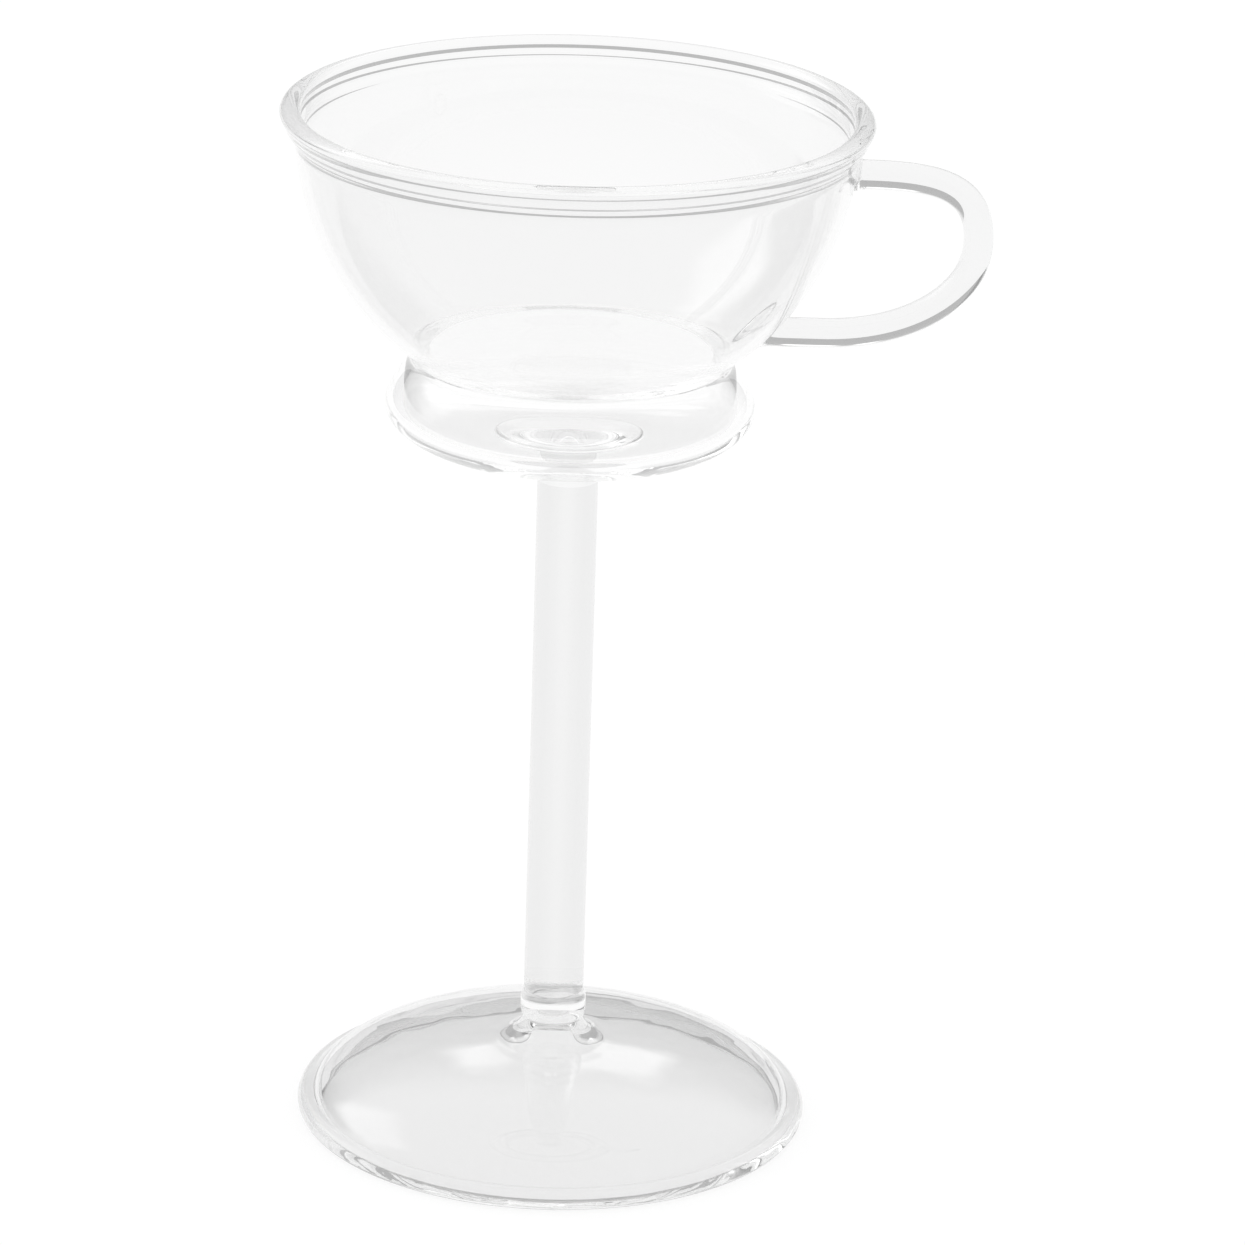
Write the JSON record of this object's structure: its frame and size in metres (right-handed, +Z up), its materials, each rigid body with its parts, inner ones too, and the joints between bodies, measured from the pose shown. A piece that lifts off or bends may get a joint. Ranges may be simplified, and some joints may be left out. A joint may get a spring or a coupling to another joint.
{
  "type": "stemmed glass cup",
  "caption": "Clear glass cup with a teacup-shaped bowl and a loop handle, on a tall stem over a wide domed foot, for serving wine, tea or a cold dessert.",
  "frame": {"origin": "middle of the part's footprint on the surface that the foot stands on; the axis of the stem, bowl and foot stands 10.15 mm from it, at x = -0.01015", "axes": "+Z up along the stem, +X from the stem towards the handle"},
  "size_m": [0.1189, 0.0986, 0.18],
  "materials": {
    "bowl_glass": "thin blown clear glass with a fire-polished rim",
    "bulb_glass": "blown clear glass",
    "weld_glass": "clear glass fused in a flame",
    "stem_glass": "drawn clear glass rod",
    "foot_glass": "domed clear glass with a fire-polished edge",
    "handle_glass": "bent clear glass rod"
  },
  "bodies": {
    "root": {"bowl": "bowl_glass", "base_bulb": "bulb_glass", "stem_top_weld": "weld_glass", "stem": "stem_glass", "stem_foot_weld": "weld_glass", "foot": "foot_glass", "handle": "handle_glass", "handle_upper_weld": "weld_glass", "handle_lower_weld": "weld_glass"}
  },
  "joints": []
}
